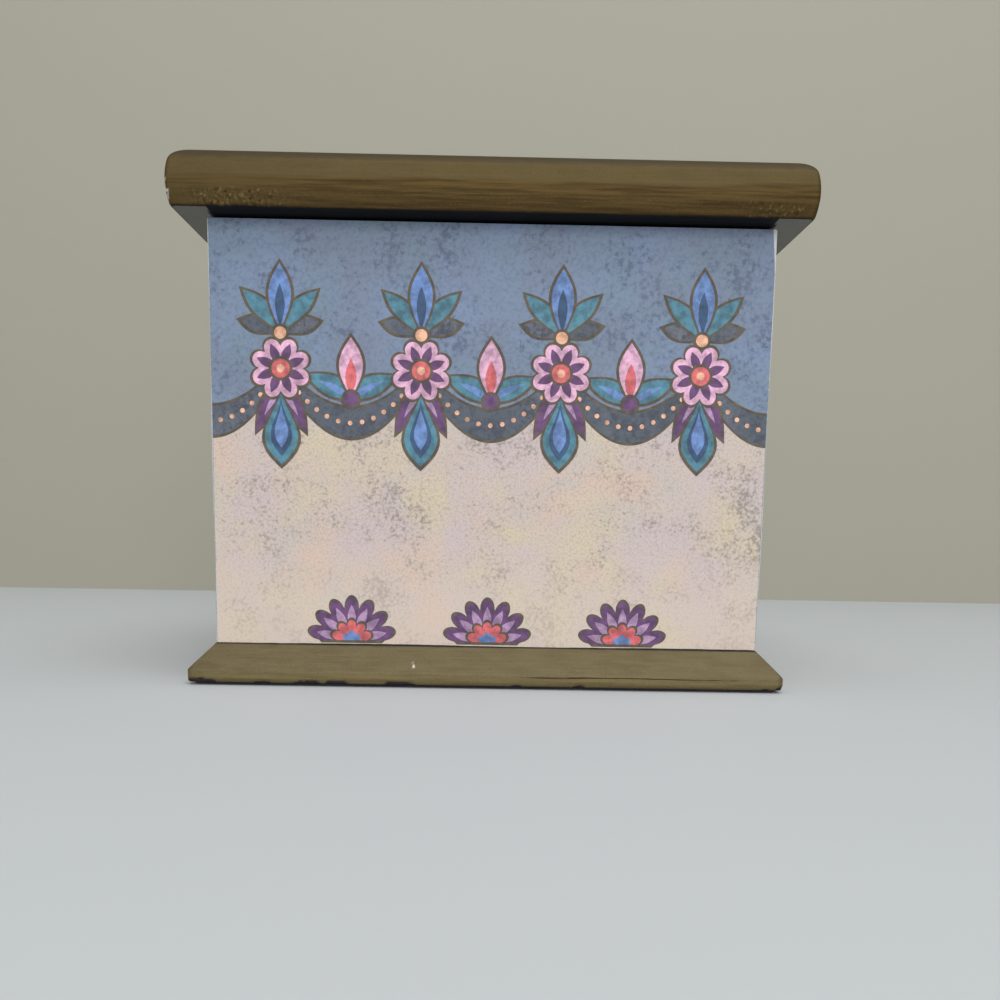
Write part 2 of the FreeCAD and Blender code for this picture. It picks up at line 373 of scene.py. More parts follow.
def sponged(finish, ground, tints, blotch, size, cover):
    """A ground with broad tints and ragged blotches, which cover more of it as cover grows."""
    tinted = ground
    for index, tint in enumerate(tints):
        offset = finish.vector_math("ADD", finish.place, (index + 1.0, 0.0, 0.0))
        tinted = finish.mix(finish.spread(finish.noise(offset, TINT_SIZE), 0.42, 0.7), tinted, tint)
    clouds = finish.noise(finish.place, BLOTCH_CLOUD, detail=2.0)
    ragged = finish.noise(finish.place, size, detail=5.0, roughness=0.6)
    level = finish.plus(ragged, finish.times(clouds, 0.55))
    mask = finish.spread(level, 0.8 - cover, 1.08 - cover)
    beside = finish.vector_math("ADD", finish.place, (0.0, 0.0, 1.0))
    mottle = finish.times(finish.spread(finish.noise(beside, 0.7 * size), 0.47, 0.64), 0.36)
    return finish.mix(finish.math("MAXIMUM", mask, mottle), tinted, blotch)


def paper_finish(name, ground, tints, blotch, size, cover, cut_edges=False, foot=None):
    """A sponged paper, with white cut edges or a ground that turns into another towards its foot."""
    finish = Finish(name, Roughness=0.62)
    base = sponged(finish, ground, tints, blotch, size, cover)
    if foot is not None:
        near_foot = finish.times(finish.spread(finish.axis(finish.place, 2), *FOOT_FADE), 0.55)
        base = finish.mix(near_foot, base, foot)
    fibre = finish.noise(finish.place, FIBRE_SIZE)
    if cut_edges:
        worn = finish.times(finish.stored("worn"), WORN_WIDTH)
        side_gap = finish.minus(finish.stored("side_gap"), worn)
        gap = finish.math("MINIMUM", side_gap, finish.stored("top_gap"))
        torn = finish.plus(gap, finish.times(fibre, TORN_WAVER))
        base = finish.mix(finish.spread(torn, *TORN_FADE), base, PAPER_CORE)
    return finish.paint(base, None, fibre, FIBRE_DEPTH)


BLUE_TINTS = (colour(123, 140, 170), colour(118, 137, 154), colour(121, 132, 154))
CREAM_TINTS = (colour(214, 188, 172), colour(210, 195, 169), colour(203, 187, 186))
SLATE_TINTS = (colour(108, 113, 124),)
blue_ground = paper_finish(
    "blue_ground",
    ground=colour(122, 139, 163),
    tints=BLUE_TINTS,
    blotch=colour(92, 105, 128),
    size=1.3 * MM,
    cover=0.04,
    cut_edges=True,
)
cream_field = paper_finish(
    "cream_field",
    ground=colour(200, 189, 181),
    tints=CREAM_TINTS,
    blotch=colour(152, 139, 133),
    size=0.8 * MM,
    cover=0.04,
    foot=colour(220, 202, 186),
)
slate_band = paper_finish(
    "slate_band",
    ground=colour(86, 93, 104),
    tints=SLATE_TINTS,
    blotch=colour(64, 70, 82),
    size=1.2 * MM,
    cover=0.12,
)
print("papers", blue_ground.name, cream_field.name, slate_band.name)

# %% Printing inks
WASH_SIZE = 2.2 * MM
INK_COLOURS = {
    "outline": (88, 78, 62),
    "teal": (74, 122, 140),
    "pink": (212, 164, 190),
    "purple": (98, 64, 106),
    "lavender": (166, 134, 168),
    "coral": (202, 98, 102),
    "peach": (222, 168, 138),
    "sky": (100, 130, 182),
    "navy": (50, 78, 112),
}


def printing_ink(name, tone):
    """A flat ink that soaked in unevenly."""
    finish = Finish("ink_" + name, Roughness=0.62)
    wash = finish.noise(finish.place, WASH_SIZE, detail=4.0, roughness=0.6)
    light = colour(*[min(255, value * 1.16) for value in tone])
    dark = colour(*[value * 0.82 for value in tone])
    base = finish.mix(finish.spread(wash, 0.3, 0.7), dark, light)
    return finish.paint(base, None, finish.noise(finish.place, FIBRE_SIZE), FIBRE_DEPTH)


inks = {name: printing_ink(name, tone) for name, tone in INK_COLOURS.items()}
inks["slate"] = slate_band
print("inks", sorted(inks))

# %% [markdown]
# ## Felt, brass, steel and rubber
#
# These finishes cover what only shows when the lid is open or the box is turned over. Felt is rough
# and matted, with a soft sheen. The brass has gone brown in patches. Steel and rubber stay plain, but
# even a plain surface is never one flat colour.

# %% Soft and metal finishes
FELT_MAT = 0.5 * MM
FELT_CLOUD = 9 * MM
FELT_DEPTH = 0.25 * MM
METAL_LINES = (4 * MM, 0.12 * MM, 0.12 * MM)
METAL_DEPTH = 0.008 * MM
RUBBER_GRAIN = 0.3 * MM
RUBBER_DEPTH = 0.03 * MM


def felt_finish():
    finish = Finish("felt", Roughness=0.95, Sheen_Weight=0.25, Sheen_Roughness=0.5)
    mat = finish.noise(finish.place, FELT_MAT, detail=5.0, roughness=0.7)
    cloud = finish.noise(finish.place, FELT_CLOUD, detail=2.0)
    share = finish.plus(finish.times(mat, 0.7), finish.times(cloud, 0.3))
    base = finish.mix(finish.spread(share, 0.3, 0.7), colour(30, 28, 33), colour(58, 54, 60))
    return finish.paint(base, None, mat, FELT_DEPTH)


def metal_finish(name, bright, dull, dull_size):
    finish = Finish(name, Metallic=1.0)
    patches = finish.noise(finish.place, dull_size, detail=4.0, roughness=0.6)
    lines = finish.noise(finish.place, METAL_LINES, detail=2.0)
    base = finish.mix(finish.spread(patches, 0.3, 0.75), bright, dull)
    return finish.paint(base, finish.plus(0.2, finish.times(patches, 0.4)), lines, METAL_DEPTH)


def rubber_finish():
    finish = Finish("rubber")
    grain = finish.noise(finish.place, RUBBER_GRAIN)
    base = finish.mix(grain, colour(14, 14, 15), colour(30, 30, 31))
    return finish.paint(base, finish.plus(0.6, finish.times(grain, 0.3)), grain, RUBBER_DEPTH)


felt = felt_finish()
brass = metal_finish("aged_brass", colour(184, 154, 98), colour(132, 105, 62), dull_size=1.2 * MM)
steel = metal_finish("plain_steel", colour(186, 186, 190), colour(128, 126, 124), dull_size=3.0 * MM)
rubber = rubber_finish()
print("finishes", felt.name, brass.name, steel.name, rubber.name)

# %% [markdown]
# ## A board with rounded corners
#
# Lid, plinth, papers and felts are all flat boards with a shaped edge. A cube with bevels could make
# them, but its corners are hard to control and its faces are uneven. Here a square net is pulled onto
# a rounded rectangle for the top and bottom, and rings between them follow the edge's section row by
# row. The same net lines run through all rows, so the mesh closes without a seam.

# %% Rounded nets
SEAM_SHARE = 0.0002  # net lines this close to the rim keep any change of pattern there out of sight
LEAST_ROUND = 0.1 * MM


def rounded_plan(across, along, half_x, half_y, radius):
    """Where points of a square from -1 to 1 land on a rectangle with rounded corners."""
    x = across * half_x
    y = along * half_y
    over_x = np.clip((np.abs(x) - half_x + radius) / radius, 0.0, None)
    over_y = np.clip((np.abs(y) - half_y + radius) / radius, 0.0, None)
    reach = np.maximum(over_x, over_y)
    corner = (over_x > 0) & (over_y > 0)
    angle = math.pi / 4 * np.minimum(over_x, over_y) / np.where(reach > 0, reach, 1.0)
    wide = np.where(over_x >= over_y, np.cos(angle), np.sin(angle)) * reach
    deep = np.where(over_x >= over_y, np.sin(angle), np.cos(angle)) * reach
    round_x = np.sign(x) * (half_x - radius + radius * wide)
    round_y = np.sign(y) * (half_y - radius + radius * deep)
    return np.where(corner, round_x, x), np.where(corner, round_y, y)


def net_lines(half, step, corner):
    """Net lines from -1 to 1: even ones, more round each corner and one just inside each rim."""
    count = max(2, round(2 * (half - corner) / step))
    middle = np.linspace(corner - half, half - corner, count + 1) / half
    turn = 1 - corner / half * np.linspace(0.0, 1.0, 5)[:-1]
    return np.unique(np.concatenate((middle, turn, -turn, [1 - SEAM_SHARE, SEAM_SHARE - 1])))


def ring_faces(below, above):
    """Quads between two closed rings of points, one above the other."""
    return np.column_stack((below, np.roll(below, -1), np.roll(above, -1), above)).tolist()


print("net lines over 10 steps", len(net_lines(5.0, 1.0, 0.5)))


# %% Board builder
class Board:
    """A closed board: rings up its edge, from rows of (setback, height), and a net on each flat side.

    Corners keep one centre all the way up, or get rounder with the setback where soften is above zero.
    """

    def __init__(self, half_x, half_y, rows, corner, lines_x, lines_y, open_nets=True, soften=-1.0):
        self.points = []
        self.faces = []
        self.rows = rows
        self.size = (half_x, half_y, corner)
        self.soften = soften
        back = lines_x[::-1][:-1]
        left = lines_y[::-1][:-1]
        rim_x = np.ones(len(left))
        rim_y = np.ones(len(back))
        self.ring_across = np.concatenate((lines_x[:-1], rim_x, back, -rim_x))
        self.ring_along = np.concatenate((-rim_y, lines_y[:-1], rim_y, left))
        self.ring = len(self.ring_across)
        for setback, height in rows:
            self.points.append(self.flat(self.ring_across, self.ring_along, setback, height))
        rings = np.arange(self.ring * len(rows)).reshape(len(rows), self.ring)
        for below, above in zip(rings, rings[1:]):
            self.faces += ring_faces(below, above)
        self.edge_faces = len(self.faces)
        self.edge_points = rings.size
        if open_nets:
            self.net(lines_x, lines_y, 0, downward=True)
            self.under_faces = len(self.faces)
            self.under_points = sum(len(block) for block in self.points)
            self.net(lines_x, lines_y, len(rows) - 1, downward=False)
        else:
            self.faces += [rings[0][::-1].tolist(), rings[-1].tolist()]
        self.points = np.concatenate(self.points)

    def flat(self, across, along, setback, height):
        half_x, half_y, corner = self.size
        radius = max(corner + self.soften * setback, LEAST_ROUND)
        x, y = rounded_plan(across, along, half_x - setback, half_y - setback, radius)
        return np.column_stack((x, y, np.full(len(x), height)))

    def net(self, lines_x, lines_y, row, downward):
        count_x = len(lines_x)
        count_y = len(lines_y)
        names = np.zeros((count_y, count_x), int)
        start = row * self.ring
        names[0, :-1] = start + np.arange(count_x - 1)
        names[:-1, -1] = start + count_x - 1 + np.arange(count_y - 1)
        names[-1, :0:-1] = start + count_x + count_y - 2 + np.arange(count_x - 1)
        names[:0:-1, 0] = start + 2 * count_x + count_y - 3 + np.arange(count_y - 1)
        first = sum(len(block) for block in self.points)
        inner = first + np.arange((count_y - 2) * (count_x - 2))
        names[1:-1, 1:-1] = inner.reshape(count_y - 2, count_x - 2)
        across, along = np.meshgrid(lines_x[1:-1], lines_y[1:-1])
        self.points.append(self.flat(across.ravel(), along.ravel(), *self.rows[row]))
        corners = (names[:-1, :-1], names[:-1, 1:], names[1:, 1:], names[1:, :-1])
        quads = np.stack([corner.ravel() for corner in corners], axis=1)
        self.faces.extend((quads[:, ::-1] if downward else quads).tolist())

    def stroke(self):
        """How far each point lies along and across the strokes, round the edge or along X on the flats."""
        half_x, half_y, _ = self.size
        x, y = self.ring_across * half_x, self.ring_along * half_y
        step = np.hypot(np.diff(x, append=x[0]), np.diff(y, append=y[0]))
        round_edge = np.concatenate(([0.0], np.cumsum(step)[:-1])) - half_x
        climb = np.hypot(*np.diff(np.array(self.rows), axis=0).T)
        up_edge = np.concatenate(([0.0], np.cumsum(climb)))
        made = np.zeros((len(self.points), 3))
        made[: self.edge_points, 0] = np.tile(round_edge, len(self.rows))
        made[: self.edge_points, 1] = np.repeat(up_edge, self.ring)
        made[self.edge_points :, 0] = self.points[self.edge_points :, 0]
        made[self.edge_points :, 1] = self.points[self.edge_points :, 1] + half_y + up_edge[-1]
        return made


print("board builder ready")

# %% Pieces and masks
WOBBLE_SEED = 11
WOBBLE_SPACINGS = (2.4 * MM, 0.9 * MM)


def new_piece(name, points, faces, materials, edges=()):
    """An object at the origin with its place in its mesh."""
    mesh = bpy.data.meshes.new(name)
    mesh.from_pydata([tuple(point) for point in points], edges, faces)
    for material in materials:
        mesh.materials.append(material)
    piece = bpy.data.objects.new(name, mesh)
    bpy.context.scene.collection.objects.link(piece)
    return piece


def store(piece, domain="POINT", **values):
    """Keeps a number, or a vector, for each point or face of a piece, under each name."""
    for name, numbers in values.items():
        kind, field = ("FLOAT_VECTOR", "vector") if numbers.ndim > 1 else ("FLOAT", "value")
        attribute = piece.data.attributes.new(name, kind, domain)
        attribute.data.foreach_set(field, numbers.astype(np.float32).ravel())


def smooth(values, low, high):
    """0 below low, 1 above high and a smooth step between them, for arrays."""
    share = np.clip((values - low) / (high - low), 0.0, 1.0)
    return share * share * (3 - 2 * share)


def fade(values, low, high):
    """1 below low, 0 above high and a smooth step between them, for arrays."""
    return 1 - smooth(values, low, high)


def wobble(along):
    """A ragged line between -1 and 1, from fixed random heights at a coarse and a fine spacing."""
    chance = np.random.default_rng(WOBBLE_SEED)
    total = np.zeros(len(along))
    for spacing in WOBBLE_SPACINGS:
        knots = np.arange(along.min() - spacing, along.max() + 2 * spacing, spacing)
        total += np.interp(along, knots, chance.uniform(-1, 1, len(knots)))
    return total / len(WOBBLE_SPACINGS)


def shade_smooth(piece, sharp_degrees):
    """Smooth shading that keeps edges sharper than the given angle crisp."""
    piece.data.shade_smooth()
    piece.data.set_sharp_from_angle(angle=math.radians(sharp_degrees))


def settle(piece, body, slot, *nodes):
    """Puts a finished piece on its body, in place of the frame's own nodes."""
    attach(piece, body)
    if nodes:
        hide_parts(*nodes)
    triangles = sum(len(face.vertices) - 2 for face in piece.data.polygons)
    print(piece.name, "rides on", body, "with", triangles, "triangles")


print("halfway up a smooth step", smooth(np.array([0.5]), 0.0, 1.0)[0])

# %% [markdown]
# ## Relief in the paint
#
# A bump map only fakes paint that was laid on thickly, and it vanishes at the outline. Geometry Nodes
# push the points of the mesh instead. The tree reads the stroke attribute for long brush ridges, a
# mask for the lumps where dry paint was dragged, and a dent depth for chips. It leaves alone the
# points whose skin is zero, such as the underside, and it notes how far each point was raised, so
# that the paint can carry a painted highlight on the crests and painted shade in the pits.

# %% Relief tree
RELIEF_INPUTS = {
    "Ridge Height": "Float",
    "Ridge Size": "Vector",
    "Lump Height": "Float",
    "Lump Size": "Float",
    "Paint": "Material",
}


def named(wiring, name, kind="FLOAT"):
    made = wiring.node("GeometryNodeInputNamedAttribute", {"Name": name}, data_type=kind)
    return made.outputs["Attribute"]


def relief_tree():
    wiring, given, result = geometry_tree("paint_relief", RELIEF_INPUTS)
    streaks = wiring.noise(named(wiring, "stroke", "FLOAT_VECTOR"), given["Ridge Size"])
    ridges = wiring.times(wiring.minus(streaks, 0.5), given["Ridge Height"])
    place = wiring.node("GeometryNodeInputPosition").outputs[0]
    blobs = wiring.noise(place, given["Lump Size"], detail=2.0)
    bumps = wiring.minus(wiring.spread(blobs, 0.52, 0.7), wiring.spread(blobs, 0.42, 0.28))
    raised = wiring.times(bumps, named(wiring, "lumpy"))
    lumps = wiring.times(raised, given["Lump Height"])
    height = wiring.minus(wiring.plus(ridges, lumps), named(wiring, "dent"))
    kept = wiring.times(height, named(wiring, "skin"))
    normal = wiring.node("GeometryNodeInputNormal").outputs[0]
    inputs = {"Geometry": given["Geometry"], "Offset": wiring.vector_math("MULTIPLY", normal, kept)}
    moved = wiring.node("GeometryNodeSetPosition", inputs).outputs[0]
    inputs = {"Geometry": moved, "Name": "raised", "Value": raised}
    noted = wiring.node("GeometryNodeStoreNamedAttribute", inputs, data_type="FLOAT", domain="POINT")
    painted = wiring.math("GREATER_THAN", named(wiring, "painted"), 0.5)
    return end_tree(wiring, result, noted.outputs[0], given["Paint"], Selection=painted)


paint_relief = relief_tree()
print("relief inputs", list(RELIEF_INPUTS))

# %% [markdown]
# ## The lid
#
# The lid is a half-inch board whose edge swells in a long shallow nose and rounds onto the top. Its
# section is worked out from three radii and the height of the nose, as a router bit would cut it. Thick
# paint lies in lumps low on the left of the front and in smaller smears low on the right, and pale wood
# flecks show on the left corner. Under the back edge, two grooves give the hinge knuckles room to turn.

# %% Lid section
lid_low, lid_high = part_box("lid_board")
NOSE_HEIGHT = 6.0 * MM
NOSE_RADIUS = 21.6 * MM
TOP_ROUND = 4.0 * MM
FOOT_ROUND = 0.5 * MM
PAINT_ROOM = 0.06 * MM  # the bare section stays this far inside the frame's lid, so that ridges fit
ROW_STEP = 0.3 * MM


def arc_rows(centre_setback, centre_height, radius, start, end):
    """Rows of (setback, height) along an arc between two angles, counted up from straight out."""
    count = max(3, round(radius * abs(end - start) / ROW_STEP))
    angles = np.linspace(start, end, count)
    return [(centre_setback - radius * math.cos(a), centre_height + radius * math.sin(a)) for a in angles]


def lid_rows(under, top):
    nose_height = under + NOSE_HEIGHT
    round_height = top - TOP_ROUND
    reach = NOSE_RADIUS - TOP_ROUND
    rise = round_height - nose_height
    round_setback = NOSE_RADIUS - math.sqrt(reach**2 - rise**2)
    turn = math.asin(rise / reach)
    foot = -math.asin((NOSE_HEIGHT - FOOT_ROUND) / NOSE_RADIUS)
    foot_setback = NOSE_RADIUS - NOSE_RADIUS * math.cos(foot) + FOOT_ROUND
    rows = arc_rows(foot_setback, under + FOOT_ROUND, FOOT_ROUND, -math.pi / 2, foot)
    rows += arc_rows(NOSE_RADIUS, nose_height, NOSE_RADIUS, foot, turn)[1:]
    rows += arc_rows(round_setback, round_height, TOP_ROUND, turn, math.pi / 2)[1:]
    return rows


lid_section = lid_rows(lid_low.z, lid_high.z - PAINT_ROOM)
print("lid section rows", len(lid_section))

# %% Lid board
LID_CORNER = 0.8 * MM
LID_NET = 1.5 * MM
FINE_NET = 0.3 * MM
LUMPY_REACH = 36 * MM  # from the left end, where the paint is lumpy
SMEAR_REACH = 22 * MM  # from the right end, where it was dragged on in smears
GROOVE_RADIUS = 1.9 * MM
GROOVE_STEPS = 7
GROOVE_END = 0.02 * MM  # the length over which a groove's end drops to the underside
GROOVE_CLEAR = 0.2 * MM  # no other net line lies as close as this to a groove
lid_half_x = lid_high.x - PAINT_ROOM
lid_half_y = lid_high.y - PAINT_ROOM
hinge_place = frame["joints"][0]["pos_m"]


def lid_lines_x():
    """Net lines across the lid: fine where the paint is lumpy, and at both ends of each groove."""
    coarse = net_lines(lid_half_x, LID_NET, LID_CORNER)
    step = FINE_NET / lid_half_x
    left_end, right_end = LUMPY_REACH / lid_half_x - 1, 1 - SMEAR_REACH / lid_half_x
    fine = np.concatenate((np.arange(step - 1, left_end, step), np.arange(1 - step, right_end, -step)))
    clear = (np.abs(coarse) > 1 - step) | ((coarse > left_end) & (coarse < right_end))
    ends = []
    for name in ("left", "right"):
        low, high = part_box(name + "_hinge_pin")
        room = GROOVE_RADIUS - (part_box(name + "_hinge_wall_leaf")[1].y - hinge_place[1])
        for edge, outward in ((low.x - room, -1), (high.x + room, 1)):
            ends += [edge / lid_half_x, (edge + outward * GROOVE_END) / lid_half_x]
    return np.unique(np.concatenate((coarse[clear], fine, ends))), np.sort(ends)


def lid_lines_y():
    coarse = net_lines(lid_half_y, LID_NET, LID_CORNER)
    rim_half = lid_half_y - lid_section[0][0]
    rounding = np.sin(np.linspace(-math.pi / 2, math.pi / 2, GROOVE_STEPS * 2 + 1))
    half_width = math.sqrt(GROOVE_RADIUS**2 - (lid_low.z - hinge_place[2]) ** 2)
    groove = (hinge_place[1] + half_width * rounding) / rim_half
    gap = GROOVE_CLEAR / rim_half
    clear = (coarse < groove[0] - gap) | (coarse > groove[-1] + gap)
    return np.unique(np.concatenate((coarse[clear], groove)))


lines_x, groove_ends = lid_lines_x()
lid = Board(lid_half_x, lid_half_y, lid_section, LID_CORNER, lines_x, lid_lines_y(), soften=0.6)
print("lid points", len(lid.points), "net", len(lines_x))

# %% Lid underside
SHADE_FLAT_HALF = 68.4 * MM  # how far to each side the underside is flat black, as painted shade under its overhangs, before its satin ends
HAIR = 0.001 * MM  # room for rounding where places are compared

under = slice(lid.edge_points, lid.under_points)
under_x = lid.points[under, 0]
across_groove = lid.points[under, 1] - hinge_place[1]
groove_top = hinge_place[2] + np.sqrt(np.clip(GROOVE_RADIUS**2 - across_groove**2, 0.0, None))
rim_half_x = lid_half_x - lid_section[0][0]
inside = np.zeros(len(under_x), bool)
# Each groove has four of the sorted ends, and is at full depth between its inner two.
for low_x, high_x in (groove_ends[1:3] * rim_half_x, groove_ends[5:7] * rim_half_x):
    inside |= (under_x > low_x - HAIR) & (under_x < high_x + HAIR)
lid.points[under, 2] = np.where(inside, np.maximum(lid_low.z, groove_top), lid_low.z)

# Painted shade: the underside between the satin ends is flat black, so that it mirrors nothing.
lid_piece = new_piece("painted_lid", lid.points, lid.faces, [satin_black, flat_black])
for polygon in lid_piece.data.polygons[lid.edge_faces : lid.under_faces]:
    polygon.material_index = int(abs(polygon.center.x) < SHADE_FLAT_HALF)
print("points over the grooves", int(inside.sum()))

# %% Lid paint
FOOT_LINE = 0.3 * MM  # about how high the dark line along the lid's foot reaches: undercoat and painted shade together
ARRIS_SHADE_START = 11.5 * MM  # up the edge, where painted shade darkens the rounded arris
ARRIS_SHADE_END = 15.6 * MM
ARRIS_SHADE_WAVER = 0.3 * MM
ARRIS_SHADE_BLUR = 0.4 * MM
# Pairs of distances, between which the paint changes.
LUMPS_BACK = (1.5 * MM, 4 * MM)  # from the front
LUMPS_UP = (2.0 * MM, 5.2 * MM)  # from the underside
LUMPS_START = (4 * MM, 12 * MM)  # from the left end
SMEARS_START = (2 * MM, 6 * MM)  # from the right end
FLECKS_BACK = (2 * MM, 6 * MM)
FLECKS_UP = (3 * MM, 8 * MM)
FLECKS_IN = (0.4 * MM, 1.3 * MM)
CALM_UP = (5 * MM, 8 * MM)  # above this the brush ridges are lower
BROWN_START = (10 * MM, 45 * MM)  # from the left end
SKIN_START = (0.0, 0.6 * MM)
FOOT_BLUR = (-0.2 * MM, 0.4 * MM)

x, y, z = lid.points.T
height = z - lid_low.z
from_left, from_right, from_front = x + lid_half_x, lid_half_x - x, y + lid_half_y
order = np.arange(len(lid.points))
on_edge = order < lid.edge_points
is_under = (order >= lid.edge_points) & (order < lid.under_points)
along_edge, up_edge, _ = lid.stroke().T
cluster = smooth(from_left, *LUMPS_START) * fade(from_left, LUMPY_REACH / 2, LUMPY_REACH)
smears = smooth(from_right, *SMEARS_START) * fade(from_right, SMEAR_REACH / 2, SMEAR_REACH)
low_front = fade(from_front, *LUMPS_BACK) * fade(height, *LUMPS_UP)
# Painted shade: a band on the rounded top arris, with a ragged lower border.
rubbed_from = up_edge - ARRIS_SHADE_START - ARRIS_SHADE_WAVER * wobble(along_edge)
rubbed = smooth(rubbed_from, -ARRIS_SHADE_BLUR, ARRIS_SHADE_BLUR) * fade(up_edge, ARRIS_SHADE_END - MM, ARRIS_SHADE_END)
# The foot line is wider where the paint is lumpy, low on the left: undercoat and painted shade under the nose.
ragged_foot = FOOT_LINE * (0.6 + 0.4 * wobble(along_edge)) * (0.7 + 0.8 * cluster)
calm = 0.4 + 0.6 * fade(height, *CALM_UP)
store(
    lid_piece,
    stroke=lid.stroke(),
    rubbed=on_edge * rubbed,
    lumpy=low_front * (0.2 + 0.8 * cluster + 0.4 * smears),
    dent=np.zeros(len(order)),
    skin=np.where(is_under, 0.0, smooth(height, *SKIN_START) * calm),
    low_coat=on_edge * (0.6 + 0.4 * smooth(from_left, *BROWN_START)),
    chip=on_edge * fade(height - ragged_foot, *FOOT_BLUR),
    fleck=fade(from_left, *FLECKS_IN) * fade(from_front, *FLECKS_BACK) * fade(height, *FLECKS_UP),
)
painted = np.ones(len(lid.faces))
painted[lid.edge_faces : lid.under_faces] = 0.0
store(lid_piece, "FACE", painted=painted)
print("lumpy points", int((low_front * cluster > 0.1).sum()))

# %% Lid in place
lid_relief = {
    "Ridge Height": 0.07 * MM,
    "Ridge Size": (14 * MM, 1.0 * MM, 1.0),
    "Lump Height": 0.3 * MM,
    "Lump Size": 0.7 * MM,
    "Paint": lid_bronze,
}
grow(lid_piece, paint_relief, lid_relief)
shade_smooth(lid_piece, 50)
settle(lid_piece, "lid", "bronze_paint", "lid_board")

# %% [markdown]
# ## The plinth
#
# The plinth is one board with a sloping face over an upright lip. Its arrises were rubbed soft, so the
# section is a line through three points with small arcs at the lower two. Along the lower edge the
# bronze has flaked off in shallow chips, mostly on the left half of each side. One pale nick sits on
# the front's slope, painted shade darkens the crease under the wall, and a line is scored along the lip.

# %% Plinth section
plinth_low, plinth_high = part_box("plinth")
body_low, body_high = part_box("front_paper")
wall_half_x = body_high.x
wall_half_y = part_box("back_paper")[1].y
LIP_HEIGHT = 3.0 * MM
LIP_ROUND = 0.7 * MM


def plinth_rows(foot, lip, top, flare):
    slope = math.atan2(top - lip, flare)
    out = math.pi / 2 - slope
    rows = arc_rows(FOOT_ROUND, foot + FOOT_ROUND, FOOT_ROUND, -math.pi / 2, 0.0)
    tangent = LIP_ROUND * math.tan(out / 2)
    below = np.arange(foot + 2 * FOOT_ROUND, lip - tangent, ROW_STEP)
    rows += [(0.0, height) for height in below]
    rows += arc_rows(LIP_ROUND, lip - tangent, LIP_ROUND, 0.0, out)
    shares = np.linspace(0.0, 1.0, round((top - lip) / ROW_STEP))[2:]
    rows += [(flare * share, lip + (top - lip) * share) for share in shares]
    return rows


plinth_half_x = plinth_high.x - PAINT_ROOM / 2
plinth_half_y = plinth_high.y - PAINT_ROOM / 2
flare = plinth_half_x - wall_half_x
plinth_section = plinth_rows(plinth_low.z, plinth_low.z + LIP_HEIGHT, plinth_high.z, flare)
print("plinth section rows", len(plinth_section), "flare in mm", round(flare / MM, 2))

# %% Plinth board
PLINTH_CORNER = 1.6 * MM
PLINTH_NET = 0.6 * MM
NICK = (-18.8 * MM, 5.2 * MM)  # across the front and up from the floor, its lower left corner
NICK_SIZE = (0.7 * MM, 1.2 * MM)
NICK_NET = np.arange(-0.3 * MM, 1.3 * MM, 0.12 * MM)

nick_lines = (NICK[0] + NICK_NET) / plinth_half_x
plinth = Board(
    plinth_half_x,
    plinth_half_y,
    plinth_section,
    PLINTH_CORNER,
    np.union1d(net_lines(plinth_half_x, PLINTH_NET, PLINTH_CORNER), nick_lines),
    net_lines(plinth_half_y, PLINTH_NET, PLINTH_CORNER),
    open_nets=False,
)
print("plinth points", len(plinth.points))

# %% Plinth chips
CHIP_DEPTH = 0.3 * MM
CHIP_BLUR = (-0.15 * MM, 0.1 * MM)
CHIP_LIMIT = 2.2 * MM  # no chip reaches higher
# Along each side from its left end: where a chip sits as a share, and how long and high it is.
CHIP_SHARES = (0.02, 0.125, 0.2, 0.25, 0.355, 0.55, 0.655, 0.97)
CHIP_LENGTHS = tuple(length * MM for length in (9.0, 4.0, 7.0, 6.0, 8.0, 3.0, 3.0, 2.5))
CHIP_HEIGHTS = tuple(height * MM for height in (1.5, 0.7, 1.0, 1.1, 1.2, 0.6, 0.7, 0.5))


def chip_mask(board, foot):
    """1 where the paint has flaked from the lower edge of a board, and 0 elsewhere."""
    along = board.stroke()[:, 0]
    height = board.points[:, 2] - foot
    mask = np.zeros(len(height))
    half_x, half_y, _ = board.size
    sides = (2 * half_x, 2 * half_y, 2 * half_x, 2 * half_y)
    starts = np.cumsum((0.0, *sides[:3])) - half_x
    for start, side in zip(starts, sides):
        for share, length, top in zip(CHIP_SHARES, CHIP_LENGTHS, CHIP_HEIGHTS):
            offset = (along - start - share * side) / (length / 2)
            bow = np.sqrt(np.clip(1 - offset**2, 0.0, None))
            edge = top * bow * (0.75 + 0.35 * wobble(along + start))
            mask = np.maximum(mask, fade(height - edge, *CHIP_BLUR))
    return np.where(height > CHIP_LIMIT, 0.0, mask)


chips = chip_mask(plinth, plinth_low.z)
print("chipped points", int((chips > 0.5).sum()))

# %% Plinth paint and place
CREASE = 0.25 * MM  # about how far the painted shade along the wall's foot reaches down the slope
CREASE_BLUR = 0.15 * MM
SCORED_START = (4 * MM, 18 * MM)  # to the right of the middle, where the scored line begins
SCORED_END = (60 * MM, 68 * MM)
PLINTH_LUMPS = 0.05
NICK_SLANT = (0.75, 1.1)  # its third side, as a share of its size
NICK_LEFT = (-0.15 * MM, 0.05 * MM)
NICK_FOOT = (-0.2 * MM, 0.1 * MM)
TOP_SKIN = 0.5 * MM  # below the wall, and above the foot, the ridges die out over these heights
FOOT_SKIN = 0.3 * MM

x, y, z = plinth.points.T
nick_x, nick_z = x - NICK[0], z - NICK[1]
slant = nick_x / NICK_SIZE[0] + nick_z / NICK_SIZE[1]
nick = fade(slant, *NICK_SLANT) * (y < -wall_half_y)
nick *= smooth(nick_x, *NICK_LEFT) * smooth(nick_z, *NICK_FOOT)
